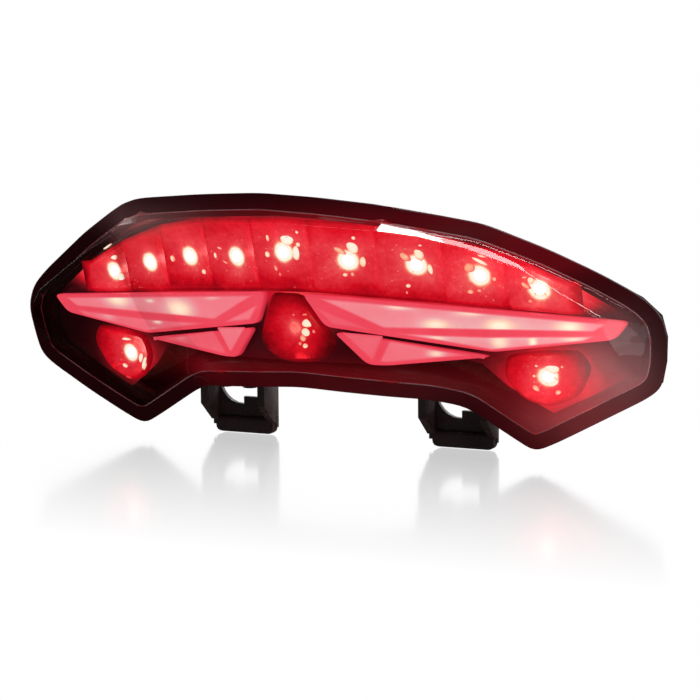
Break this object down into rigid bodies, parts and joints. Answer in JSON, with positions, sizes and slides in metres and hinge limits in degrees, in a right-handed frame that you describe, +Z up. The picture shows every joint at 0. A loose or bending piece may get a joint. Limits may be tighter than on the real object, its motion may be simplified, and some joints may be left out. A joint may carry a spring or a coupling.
{
  "type": "motorcycle tail light",
  "caption": "Swept LED tail light for a motorcycle with a smoked red lens over chromed cups and faceted light blades, in a black housing on steel brackets.",
  "frame": {"origin": "on the lamp's mirror plane, at the height of the bracket feet, midway between the front and the back of the lamp", "axes": "+X across the motorcycle to the right as seen from behind it, +Y forward into the motorcycle's tail, away from the lit face, +Z up"},
  "size_m": [0.2308, 0.0816, 0.0882],
  "materials": {
    "smoked_lens": "polished, transparent smoked red acrylic, glossy black border at the rim",
    "housing_black": "fine moulded texture",
    "seal_rubber": "matt",
    "reflector_chrome": "vacuum-metallised with fine facets",
    "bezel_black": "glossy",
    "blade_acrylic": "frosted back, polished facets",
    "board_laminate": "solder mask",
    "led_epoxy": "clear domed",
    "bracket_steel": "gloss black powder coat",
    "screw_zinc": "zinc plated",
    "insert_brass": "machined",
    "connector_nylon": "natural nylon",
    "vent_plastic": "moulded"
  },
  "bodies": {
    "root": {"board_connector": "connector_nylon", "breather_vent": "vent_plastic", "centre_circuit_board": "board_laminate", "centre_led": "led_epoxy", "centre_reflector": "reflector_chrome", "inner_bezel": "bezel_black", "lens_seal": "seal_rubber", "outer_lens": "smoked_lens", "rear_housing": "housing_black", "upper_reflector": "reflector_chrome", "wire_grommet": "seal_rubber", "top_led_1": "led_epoxy", "top_led_2": "led_epoxy", "top_led_3": "led_epoxy", "top_led_4": "led_epoxy", "top_led_5": "led_epoxy", "top_led_6": "led_epoxy", "top_led_7": "led_epoxy", "top_led_8": "led_epoxy", "top_led_9": "led_epoxy", "left_blade_led_1": "led_epoxy", "left_blade_led_2": "led_epoxy", "left_blade_led_3": "led_epoxy", "left_blade_led_4": "led_epoxy", "left_board_screw_1": "screw_zinc", "left_board_screw_2": "screw_zinc", "left_bracket": "bracket_steel", "left_bracket_screw_1": "screw_zinc", "left_bracket_screw_2": "screw_zinc", "left_circuit_board": "board_laminate", "left_lower_blade": "blade_acrylic", "left_lower_led": "led_epoxy", "left_lower_reflector": "reflector_chrome", "left_threaded_insert": "insert_brass", "left_upper_blade": "blade_acrylic", "right_blade_led_1": "led_epoxy", "right_blade_led_2": "led_epoxy", "right_blade_led_3": "led_epoxy", "right_blade_led_4": "led_epoxy", "right_board_screw_1": "screw_zinc", "right_board_screw_2": "screw_zinc", "right_bracket": "bracket_steel", "right_bracket_screw_1": "screw_zinc", "right_bracket_screw_2": "screw_zinc", "right_circuit_board": "board_laminate", "right_lower_blade": "blade_acrylic", "right_lower_led": "led_epoxy", "right_lower_reflector": "reflector_chrome", "right_threaded_insert": "insert_brass", "right_upper_blade": "blade_acrylic"}
  },
  "joints": []
}
